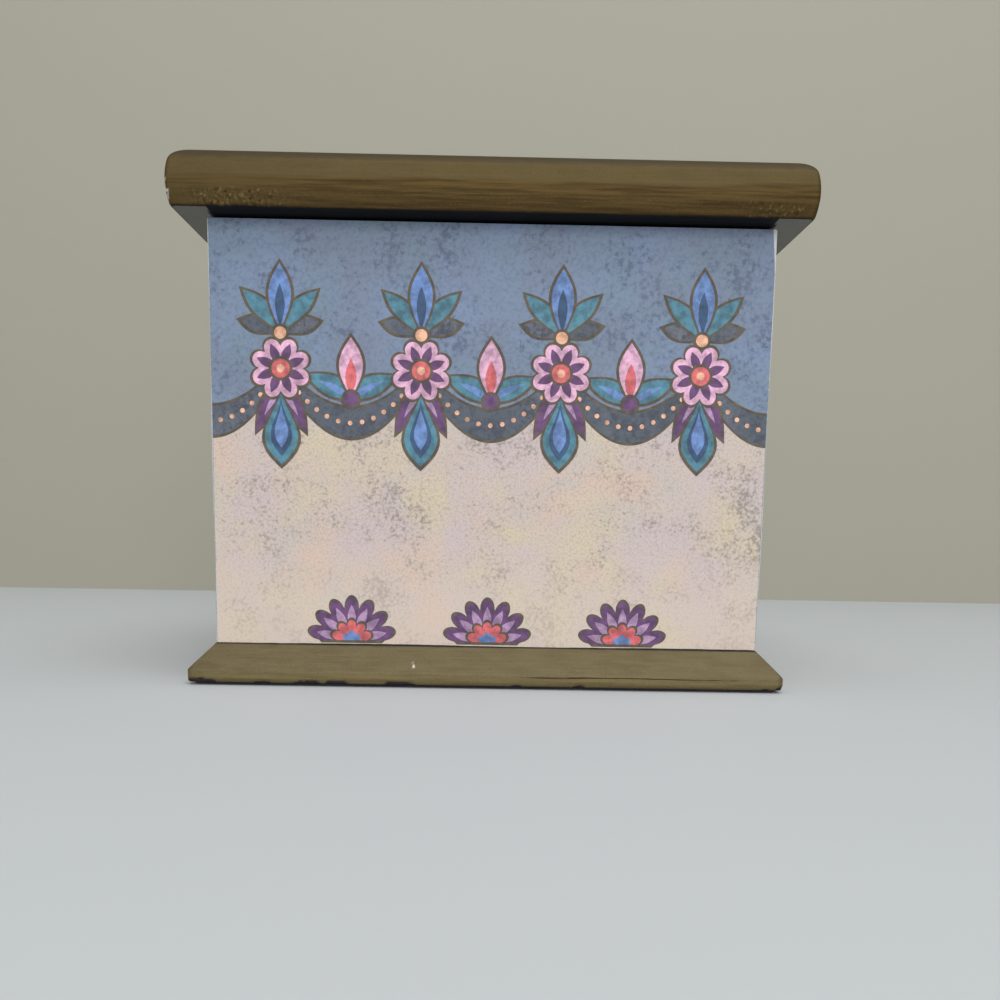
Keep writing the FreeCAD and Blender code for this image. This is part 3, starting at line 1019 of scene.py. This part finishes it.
# Painted shade along the crease where the slope meets the wall.
crease = plinth_high.z - CREASE * (0.7 + 0.6 * wobble(plinth.stroke()[:, 0]))
below_top = fade(z, plinth_high.z - TOP_SKIN, plinth_high.z)
plinth_piece = new_piece("painted_plinth", plinth.points, plinth.faces, [plinth_bronze])
store(
    plinth_piece,
    stroke=plinth.stroke(),
    lumpy=np.full(len(x), PLINTH_LUMPS),
    low_coat=np.ones(len(x)),
    dent=(chips + nick) * CHIP_DEPTH,
    skin=below_top * smooth(z - plinth_low.z, 0.0, FOOT_SKIN),
    chip=chips,
    nick=nick,
    rubbed=smooth(z - crease, -CREASE_BLUR, CREASE_BLUR),
    scored=smooth(x, *SCORED_START) * fade(x, *SCORED_END),
)
store(plinth_piece, "FACE", painted=np.ones(len(plinth.faces)))
plinth_relief = {
    "Ridge Height": 0.04 * MM,
    "Ridge Size": (12 * MM, 1.0 * MM, 1.0),
    "Lump Height": 0.8 * MM,
    "Lump Size": 2.5 * MM,
    "Paint": plinth_bronze,
}
grow(plinth_piece, paint_relief, plinth_relief)
shade_smooth(plinth_piece, 50)
settle(plinth_piece, "box", "bronze_paint", "plinth")

# %% [markdown]
# ## The printed motifs
#
# The paper carries a scalloped border: a slate hem hangs in equal swags, with a rosette where two
# swags meet, a drop below it, a palmette above it, a sprig on each swag and a fan at the foot. Each
# motif is drawn once as outlines, in complex numbers so that turning is a product and moving is a sum,
# and in millimetres. Each main shape is first grown by a pen's width in brown, and its colour lies on
# top, as inked work is. Petals and inner leaves have no line.

# %% Outlines
PEN_WIDTH = 0.7  # in millimetres, as all of an outline is
FULL_TURN = 2 * math.pi
HALF_TURN = math.pi
BLADE_STEPS = 16
LOBE_STEPS = 10
DISC_STEPS = 22


def blade(length, width, belly=0.8, bend=0.0, pen=0.0):
    """A pointed leaf from the origin upwards, bent sideways by a share and grown by a pen's width."""
    share = np.linspace(0.0, 1.0, BLADE_STEPS + 1)
    half = (width / 2 + pen) * np.sin(math.pi * share**belly)
    reach = (length + 3.2 * pen) * share - 1.6 * pen
    spine = 1j * reach + bend * np.sign(reach) * reach**2 / length
    return np.concatenate((spine + half, (spine - half)[-2:0:-1]))


def rosette(lobes, inner, outer, sweep=FULL_TURN, pen=0.0):
    """A scalloped disc, or with a smaller sweep a fan that stands on its cut."""
    steps = np.linspace(0.0, sweep, lobes * LOBE_STEPS + 1)
    radius = inner + pen + (outer - inner) * np.abs(np.sin(lobes * math.pi * steps / sweep)) ** 0.7
    outline = radius * np.exp(1j * steps)
    if sweep == FULL_TURN:
        return outline[:-1]
    return np.concatenate((outline, [-inner - 1j * pen, inner - 1j * pen]))


def disc(radius, pen=0.0):
    return (radius + pen) * np.exp(2j * math.pi * np.arange(DISC_STEPS) / DISC_STEPS)


def turned(outline, degrees):
    return outline * np.exp(1j * math.radians(degrees))


def inked(ink, draw):
    """An outlined shape as two films: the pen's line, and over it the shape's own colour."""
    return [("outline", [draw(PEN_WIDTH)]), (ink, [draw(0.0)])]


def plain(ink, *outlines):
    """Shapes in one colour without a line, as one film."""
    return [(ink, list(outlines))]


print("a blade has", len(blade(1.0, 0.5)), "points")


# %% Motifs
def leaf(length, width, belly, bend, degrees):
    """A blade's outline as a function of the pen's width."""
    return lambda pen: turned(blade(length, width, belly, bend, pen), degrees)


def rosette_motif():
    films = inked("pink", lambda pen: rosette(8, 5.4, 7.4, pen=pen))
    petal = blade(6.4, 2.2, 1.25)
    films += plain("purple", *(turned(petal, 45 * index - 67.5) for index in range(8)))
    films += inked("coral", lambda pen: disc(2.3, pen))
    films += plain("peach", disc(1.0))
    return films


def drop_motif():
    films = []
    for side in (-1, 1):
        films += inked("purple", leaf(12.0, 4.4, 0.75, side * 0.16, 180 + side * 40))
        films += plain("lavender", leaf(7.6, 1.3, 0.9, side * 0.12, 180 + side * 40)(0.0))
    films += inked("teal", leaf(18.5, 8.4, 1.5, 0.0, 180))
    films += plain("navy", leaf(14.6, 5.4, 1.6, 0.0, 180)(0.0) - 1.8j)
    films += plain("sky", leaf(11.0, 3.4, 1.6, 0.0, 180)(0.0) - 3.4j)
    return films


def palmette_motif():
    films = []
    for degrees, length, ink in ((64, 10.0, "slate"), (33, 13.5, "teal")):
        for side in (1, -1):
            films += inked(ink, leaf(length, 4.0, 1.2, -side * 0.16, side * degrees))
    films += inked("sky", leaf(16.5, 5.6, 1.2, 0.0, 0.0))
    films += plain("navy", leaf(10.5, 2.4, 1.1, 0.0, 0.0)(0.0) + 1.2j)
    films += inked("peach", lambda pen: disc(1.5, pen))
    return films


def sprig_motif():
    films = []
    for side in (-1, 1):
        films += inked("teal", leaf(12.5, 5.0, 0.9, side * 0.22, -side * 50))
        films += plain("sky", leaf(9.2, 1.7, 0.9, side * 0.2, -side * 50)(0.0))
    films += inked("pink", leaf(15.0, 6.0, 1.15, 0.0, 0.0))
    films += plain("coral", leaf(9.0, 2.8, 1.0, 0.0, 0.0)(0.0) + 1.0j)
    films += inked("purple", lambda pen: disc(1.8, pen))
    return films


def fan_motif():
    films = inked("purple", lambda pen: rosette(7, 7.8, 11.0, HALF_TURN, pen))
    petal = blade(9.2, 2.1, 1.5)
    films += plain("lavender", *(turned(petal, 180 / 7 * (index + 0.5) - 90) for index in range(7)))
    films += inked("coral", lambda pen: rosette(5, 3.8, 5.2, HALF_TURN, pen))
    films += plain("sky", rosette(3, 1.8, 2.5, HALF_TURN))
    return films


motifs = {
    "drop": drop_motif(),
    "palmette": palmette_motif(),
    "sprig": sprig_motif(),
    "fan": fan_motif(),
    "rosette": rosette_motif(),
}
print("films in each motif", {name: len(films) for name, films in motifs.items()})

# %% [markdown]
# ## Ink films and rows
#
# Each ink is a film well under a fifth of a millimetre thick, so that its edge stays crisp at any
# distance, and the films lie on one another in layers. One function draws a motif's films, and a
# Geometry Nodes tree sets a row of them along the wall. Its inputs are the count, the pitch, the height
# and the ink, so the same tree serves every motif on every wall.

# %% Films
FILM = 0.007 * MM
HEM_LAYERS = 4
ROSETTE_BASE = HEM_LAYERS + max(len(films) for films in motifs.values())
LAYERS = ROSETTE_BASE + len(motifs["rosette"])
PRINT_DEPTH = FILM * LAYERS


def film_piece(name, films, material):
    """Thin closed films in the XZ plane that face -Y, each from its outline, layer and front faces."""
    points = []
    faces = []
    for outline, layer, fronts in films:
        front = len(points) + np.arange(len(outline))
        back = front + len(outline)
        for depth in (-layer * FILM, FILM):
            points += [(point.real, depth, point.imag) for point in outline]
        faces += front[fronts].tolist() + back[fronts][:, ::-1].tolist() + ring_faces(back, front)
    piece = new_piece(name, points, faces, [material])
    net = bmesh.new()
    net.from_mesh(piece.data)
    bmesh.ops.triangulate(net, faces=[face for face in net.faces if len(face.verts) > 4])
    net.to_mesh(piece.data)
    net.free()
    return piece


print("film in mm", FILM / MM, "print depth in mm", round(PRINT_DEPTH / MM, 3))

# %% Rows of motifs
ROW_INPUTS = {"Count": "Int", "Pitch": "Float", "Height": "Float", "Ink": "Material"}


def row_tree():
    wiring, given, result = geometry_tree("motif_row", ROW_INPUTS)
    gaps = wiring.minus(given["Count"], 1.0)
    start = wiring.times(wiring.times(gaps, given["Pitch"]), -0.5)
    first = wiring.node("ShaderNodeCombineXYZ", {"X": start, "Z": given["Height"]}).outputs[0]
    step = wiring.node("ShaderNodeCombineXYZ", {"X": given["Pitch"]}).outputs[0]
    inputs = {"Count": given["Count"], "Start Location": first, "Offset": step}
    points = wiring.node("GeometryNodeMeshLine", inputs).outputs[0]
    inputs = {"Points": points, "Instance": given["Geometry"]}
    copies = wiring.node("GeometryNodeInstanceOnPoints", inputs).outputs[0]
    return end_tree(wiring, result, copies, given["Ink"])


motif_row = row_tree()


def row_of(name, count, pitch, height, base):
    """One row of a motif along a wall: a film piece for each ink, stacked above a base layer."""
    by_ink = {}
    for layer, (ink, outlines) in enumerate(motifs[name], base + 1):
        films = [(outline * MM, layer, [range(len(outline))]) for outline in outlines]
        by_ink.setdefault(ink, []).extend(films)
    pieces = []
    for ink, films in by_ink.items():
        piece = film_piece(f"{name}_{ink}", films, inks[ink])
        values = {"Count": count, "Pitch": pitch, "Height": height, "Ink": inks[ink]}
        pieces.append(grow(piece, motif_row, values))
    return pieces


print("row inputs", list(ROW_INPUTS))

# %% [markdown]
# ## Hem and field
#
# The hem is a band between two curves that sag from cusp to cusp. Strips of quads between an upper
# and a lower line make the band, its two pen lines and the cream field under it. Beads follow the
# hem's middle line: a second tree turns that line into a curve, spaces points along it and sets a
# small disc on each.

# %% Beads
BEAD_SPACING = 3.0 * MM
BEAD_RADIUS = 0.6 * MM
BEAD_INPUTS = {"Spacing": "Float", "Radius": "Float", "Depth": "Float", "Ink": "Material"}


def bead_tree():
    wiring, given, result = geometry_tree("hem_beads", BEAD_INPUTS)
    line = wiring.node("GeometryNodeMeshToCurve", {"Mesh": given["Geometry"]}).outputs[0]
    inputs = {"Curve": line, "Length": given["Spacing"]}
    points = wiring.node("GeometryNodeCurveToPoints", inputs, mode="LENGTH").outputs[0]
    inputs = {"Vertices": 10, "Radius": given["Radius"], "Depth": given["Depth"]}
    bead = wiring.node("GeometryNodeMeshCylinder", inputs).outputs[0]
    inputs = {"Points": points, "Instance": bead, "Rotation": (math.pi / 2, 0.0, 0.0)}
    copies = wiring.node("GeometryNodeInstanceOnPoints", inputs).outputs[0]
    return end_tree(wiring, result, copies, given["Ink"])


hem_beads = bead_tree()
print("bead inputs", list(BEAD_INPUTS))

# %% Hem strips
CUSP_SHARE = 0.66  # of the sheet's height, where two swags meet
SAG = 13.0 * MM
BAND_BELLY = 7.2 * MM
BAND_CUSP = 3.0 * MM
SWAG_PITCH = 35.0 * MM
PEN = PEN_WIDTH * MM
RIM = 0.3 * MM  # the print stops this far from the cut sides of a sheet
FOOT_RIM = 0.06 * MM  # and this far from its foot
FOOT_DROP = 0.22 * MM  # how much lower a sheet's foot is cut in some places
FOOT_WAVE = 12 * MM


def foot_drop(along):
    """How far below its nominal foot a sheet reaches, in slow waves with a ragged edge."""
    waves = 0.5 - 0.5 * np.sin(along / FOOT_WAVE + 3.7)
    return FOOT_DROP * np.clip(waves + 0.3 * wobble(along), 0.0, 1.0)


def strip_piece(name, along, lower, upper, layer, material):
    """A film between two lines over the same places along a wall."""
    outline = np.concatenate((along + 1j * lower, (along + 1j * upper)[::-1]))
    near = np.arange(len(along) - 1)
    far = len(outline) - 1 - near
    return film_piece(name, [(outline, layer, np.column_stack((near, near + 1, far - 1, far)))], material)


def hem_pieces(width, height, pitch):
    """The cream field, the slate hem with its pen lines, and the beads along it, for one wall."""
    half = width / 2 - RIM
    along = np.linspace(-half, half, 2 * round(width / MM) + 1)
    phase = np.mod(along + width / 2 + pitch / 2, pitch) / pitch * 2 - 1
    middle = CUSP_SHARE * height - SAG * (1 - phase**2)
    thick = BAND_BELLY + (BAND_CUSP - BAND_BELLY) * phase**2
    low, high = middle - thick / 2, middle + thick / 2
    field = strip_piece("field", along, FOOT_RIM - foot_drop(along), middle, 1, cream_field)
    pen_line = strip_piece("hem_pen", along, low - PEN, high + PEN, 2, inks["outline"])
    band = strip_piece("hem_band", along, low, high, 3, slate_band)
    inner = np.abs(along) < half - BEAD_SPACING / 2
    line = [(u, -HEM_LAYERS * FILM, v) for u, v in zip(along[inner], middle[inner])]
    links = [(index, index + 1) for index in range(len(line) - 1)]
    beads = new_piece("hem_bead_line", line, [], [], links)
    values = {"Spacing": BEAD_SPACING, "Radius": BEAD_RADIUS, "Depth": FILM, "Ink": inks["peach"]}
    return [field, pen_line, band, grow(beads, hem_beads, values)]


print("swags on the front", round((body_high.x - body_low.x) / SWAG_PITCH))

# %% [markdown]
# ## The papered walls
#
# A sheet is a board as thin as paper, with edges cut by hand and so a little uneven: its sides waver,
# and its foot hangs lower in some places. It is built lying flat, stood up against its wall together
# with its films, and all of them are joined into one piece, because print and paper can't come apart.
# Each wall is the same job at another width, distance and turn, so a loop papers all four.

# %% Cut sheet
SHEET_NET = 2.0 * MM
SHEET_CORNER = 0.5 * MM
SHEET_BEVEL = 0.05 * MM
CUT_WAVER = 0.12 * MM
CUT_WAVE = 9 * MM
CUT_REACH = 3 * MM  # in from a side, as far as its waver is felt
TOP_MARGIN = 0.25 * MM  # so much less of the white core shows along the top than along the sides
WORN_REACH = 10 * MM  # down the right cut, from the corner where the sheet has lifted


def cut_sheet(name, width, height, thickness):
    """A blank sheet that stands in the XZ plane, its face towards -Y and its foot at zero."""
    section = ((SHEET_BEVEL, 0.0), (0.0, SHEET_BEVEL))
    rows = [*section, *((setback, thickness - level) for setback, level in section[::-1])]
    lines = [net_lines(size / 2, SHEET_NET, SHEET_CORNER) for size in (width, height)]
    board = Board(width / 2, height / 2, rows, SHEET_CORNER, *lines)
    across, up, out = board.points.T
    near_side = smooth(np.abs(across), width / 2 - CUT_REACH, width / 2)
    waver = CUT_WAVER * near_side * (0.5 + 0.5 * np.sin(up / CUT_WAVE + np.sign(across)))
    across = across - np.sign(across) * waver
    from_top = height / 2 - up
    lowered = up - foot_drop(across) * smooth(from_top, height - MM, height)
    points = np.column_stack((across, -out, lowered + height / 2))
    piece = new_piece(name, points, board.faces, [blue_ground])
    store(
        piece,
        side_gap=width / 2 - np.abs(across),
        top_gap=from_top + TOP_MARGIN,
        worn=np.clip(1 - from_top / WORN_REACH, 0.0, 1.0) * (across > 0),
    )
    return piece


print("sheets are cut within", CUT_WAVER / MM, "mm")

# %% Paper the walls
QUARTER_TURNS = {"front": 0, "right": 1, "back": 2, "left": 3}
DROP_BELOW = 5.0 * MM  # below the cusp
PALMETTE_ABOVE = 8.6 * MM  # above the cusp
SPRIG_ABOVE = 2.2 * MM  # above the hem's belly
FAN_ABOVE = 0.9 * MM  # above the sheet's foot


def join(name, pieces):
    """One object from several, each with its own materials."""
    with bpy.context.temp_override(active_object=pieces[0], selected_editable_objects=pieces):
        bpy.ops.object.join()
    pieces[0].name = name
    pieces[0].data.name = name
    return pieces[0]


def paper_wall(side):
    node = side + "_paper"
    low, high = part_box(node)
    sizes = high - low
    turn = QUARTER_TURNS[side]
    width, thickness = (sizes.x, sizes.y) if turn % 2 == 0 else (sizes.y, sizes.x)
    distance = max(abs(value) for value in ((low.y, high.y) if turn % 2 == 0 else (low.x, high.x)))
    count = round(width / SWAG_PITCH)
    pitch = width / count
    cusp = CUSP_SHARE * sizes.z
    belly = cusp - SAG + BAND_BELLY / 2
    sheet = cut_sheet(node + "_sheet", width, sizes.z, thickness - PRINT_DEPTH)
    sheet.data.transform(Matrix.Translation((0.0, thickness - PRINT_DEPTH, 0.0)))
    pieces = [sheet] + hem_pieces(width, sizes.z, pitch)
    for name, copies, height, base in (
        ("drop", count, cusp - DROP_BELOW, HEM_LAYERS),
        ("palmette", count, cusp + PALMETTE_ABOVE, HEM_LAYERS),
        ("sprig", count - 1, belly + SPRIG_ABOVE, HEM_LAYERS),
        ("fan", count - 1, FAN_ABOVE, HEM_LAYERS),
        ("rosette", count, cusp, ROSETTE_BASE),
    ):
        pieces += row_of(name, copies, pitch, height, base)
    piece = join("printed_" + node, pieces)
    stand = Matrix.Rotation(turn * math.pi / 2, 4, "Z")
    piece.data.transform(stand @ Matrix.Translation((0.0, PRINT_DEPTH - distance, low.z)))
    shade_smooth(piece, 30)
    settle(piece, "box", "printed_paper", node)


for side in QUARTER_TURNS:
    paper_wall(side)

# %% [markdown]
# ## Felts and bumpers
#
# A felt sheet lies under the plinth, another on the floor of the box and a third under the lid. Each
# is a thin board with a soft edge, and small waves keep it from looking like card. The bumpers are
# soft pads with a domed top, spun from a short section.

# %% Felt sheets
FELT_NET = 1.6 * MM
FELT_WAVE = 0.06 * MM
FELT_CORNER = 1.5 * MM
FELT_RIM = 3 * MM  # the waves die out over this distance from the edges
FELT_WAVES = (5.3 * MM, 4.1 * MM, 2.7 * MM)  # across, along and aslant
FELT_EDGE_SHARE = 0.8  # of half the thickness, the rounding of the edge
FELTS = {
    "base_felt": ("box", ["plinth"]),
    "floor_lining": ("box", ["plinth"]),
    "lid_lining": ("lid", ["lid_board"]),
}


def felt_sheet(node):
    low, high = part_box(node)
    half = (high - low) / 2
    edge = half.z * FELT_EDGE_SHARE
    rows = arc_rows(edge, low.z + edge, edge, -math.pi / 2, 0.0)
    rows += arc_rows(edge, high.z - edge, edge, 0.0, math.pi / 2)
    lines = [net_lines(size, FELT_NET, FELT_CORNER) for size in (half.x, half.y)]
    board = Board(half.x, half.y, rows, FELT_CORNER, *lines)
    x, y, z = board.points.T
    across, along, aslant = FELT_WAVES
    wave = np.sin(x / across) * np.sin(y / along + 1.0) + np.sin((x + y) / aslant)
    inner = smooth(half.x - np.abs(x), 0.0, FELT_RIM) * smooth(half.y - np.abs(y), 0.0, FELT_RIM)
    upward = -1.0 if node == "lid_lining" else 1.0
    shown = upward * (z - low.z - half.z) > 0
    lifted = z - np.where(shown, upward * FELT_WAVE * (1 + wave / 2) * inner, 0.0)
    piece = new_piece(node + "_sheet", np.column_stack((x, y, lifted)), board.faces, [felt])
    shade_smooth(piece, 60)
    body, rests_on = FELTS[node]
    settle(piece, body, "felt", node)


for node in FELTS:
    felt_sheet(node)

# %% Bumpers
PAD_STEPS = 28
DOME_SHARE = 0.45  # of a pad's height


def bumper_pads():
    low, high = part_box("lid_bumpers")
    radius = (high.y - low.y) / 2
    tall = high.z - low.z
    dome = DOME_SHARE * tall
    section = [(radius, 0.0), (radius, tall - dome)]
    angles = np.linspace(0.0, math.pi / 2, 8)[1:-1]
    section += [(radius * math.cos(a) ** 0.6, tall - dome + dome * math.sin(a)) for a in angles]
    turns = np.exp(2j * math.pi * np.arange(PAD_STEPS) / PAD_STEPS)
    points = []
    faces = []
    for x in (low.x + radius, high.x - radius):
        rings = len(points) + np.arange(len(section) * PAD_STEPS).reshape(len(section), PAD_STEPS)
        for reach, height in section:
            ring = reach * turns + x + 1j * (low.y + radius)
            points += [(place.real, place.imag, low.z + height) for place in ring]
        for below, above in zip(rings, rings[1:]):
            faces += ring_faces(below, above)
        faces += [rings[-1].tolist(), rings[0][::-1].tolist()]
    piece = new_piece("bumper_pads", points, faces, [rubber])
    shade_smooth(piece, 50)
    settle(piece, "box", "bumper", "lid_bumpers")


bumper_pads()

# %% [markdown]
# ## Finishes on the frame's own pieces
#
# Walls, hinges, screws and brads have their true shape already, so they stay and only take a finish.
# The slot that the record gives each one says which.

# %% Dress the frame's pieces
SLOT_FINISHES = {"dark_paint": satin_black, "brass": brass, "steel": steel}
dressed = [entry for entry in frame["record"]["subparts"] if entry["material_slot"] in SLOT_FINISHES]
for entry in dressed:
    mesh = frame["nodes"][entry["node"]].data
    mesh.materials.clear()
    mesh.materials.append(SLOT_FINISHES[entry["material_slot"]])
print("dressed", len(dressed), "pieces")

# %% [markdown]
# ## Stage, light and camera
#
# The box stands on a plain pale floor before a plain warm backdrop. Soft light comes from a wide lamp
# above the front, from a lower one farther off that reaches under the lid, and from an even sky, at a
# level where a colour renders about as it is written. The camera stands low and close, so that the
# underside of the lid shows. The picture is the upper part of a taller view, and that is what the lens
# shift stands for.

# %% Stage
BACKDROP_PLACE = 0.31
STAGE_REACH = 2.5
STAGE_CLOUD = 0.2


def plain_stage(name, near, far, base, rough):
    """A sheet as wide as the stage between a near and a far edge, each given by its Y and its height."""
    finish = Finish(name + "_finish", Roughness=rough)
    soft = finish.noise(finish.place, STAGE_CLOUD, detail=2.0)
    light = tuple(min(1.0, value * 1.03) for value in base[:3]) + (1.0,)
    finish.paint(finish.mix(soft, base, light))
    corners = [(-STAGE_REACH, *near), (STAGE_REACH, *near), (STAGE_REACH, *far), (-STAGE_REACH, *far)]
    piece = new_piece(name, corners, [[0, 1, 2, 3]], [finish.material])


backdrop_foot = (BACKDROP_PLACE, 0.0)
backdrop_top = (BACKDROP_PLACE, STAGE_REACH)
plain_stage("floor", (-STAGE_REACH, 0.0), backdrop_foot, colour(204, 209, 212), 0.6)
plain_stage("backdrop", backdrop_foot, backdrop_top, colour(169, 166, 151), 0.8)
print("stage reaches", STAGE_REACH, "m")

# %% Light
SKY_LEVEL = 0.42
SKY_COLOUR = (0.97, 0.985, 1.0, 1.0)
LAMP_TARGET = Vector((0.0, 0.0, 0.06))
# The place, the size and the power of each lamp.
LAMPS = {
    "key": ((0.12, -0.45, 1.05), 0.9, 6.0),
    "fill": ((0.1, -1.4, 0.45), 0.8, 8.4),
}


def soft_lamp(name, place, size, power):
    lamp = bpy.data.lights.new(name, "AREA")
    lamp.size = size
    lamp.energy = power
    holder = bpy.data.objects.new(name, lamp)
    holder.location = place
    holder.rotation_euler = (LAMP_TARGET - Vector(place)).to_track_quat("-Z", "Y").to_euler()
    bpy.context.scene.collection.objects.link(holder)


world = bpy.context.scene.world or bpy.data.worlds.new("sky")
bpy.context.scene.world = world
world.use_nodes = True
background = world.node_tree.nodes["Background"]
background.inputs["Color"].default_value = SKY_COLOUR
background.inputs["Strength"].default_value = SKY_LEVEL
for name, settings in LAMPS.items():
    soft_lamp(name, *settings)
bpy.context.scene.view_settings.view_transform = "Standard"
print("sky", SKY_LEVEL, "lamps", list(LAMPS))

# %% Camera
LENS = 37.995
LENS_SHIFT = 0.181
CAMERA_PLACE = (-0.00013, -0.32225, 0.0415)
TILT_DOWN = math.radians(8.391)
ROLL = math.radians(1.009)
YAW = math.radians(-0.778)

camera_data = bpy.data.cameras.new("camera")
camera_data.sensor_width = 36.0
camera_data.lens = LENS
camera_data.shift_y = LENS_SHIFT
camera_data.clip_start = 0.01
camera = bpy.data.objects.new("camera", camera_data)
aim = Matrix.Rotation(YAW, 4, "Z") @ Matrix.Rotation(math.pi / 2 - TILT_DOWN, 4, "X")
camera.matrix_world = Matrix.Translation(CAMERA_PLACE) @ aim @ Matrix.Rotation(ROLL, 4, "Z")
bpy.context.scene.collection.objects.link(camera)
bpy.context.scene.camera = camera
print("camera at", CAMERA_PLACE)
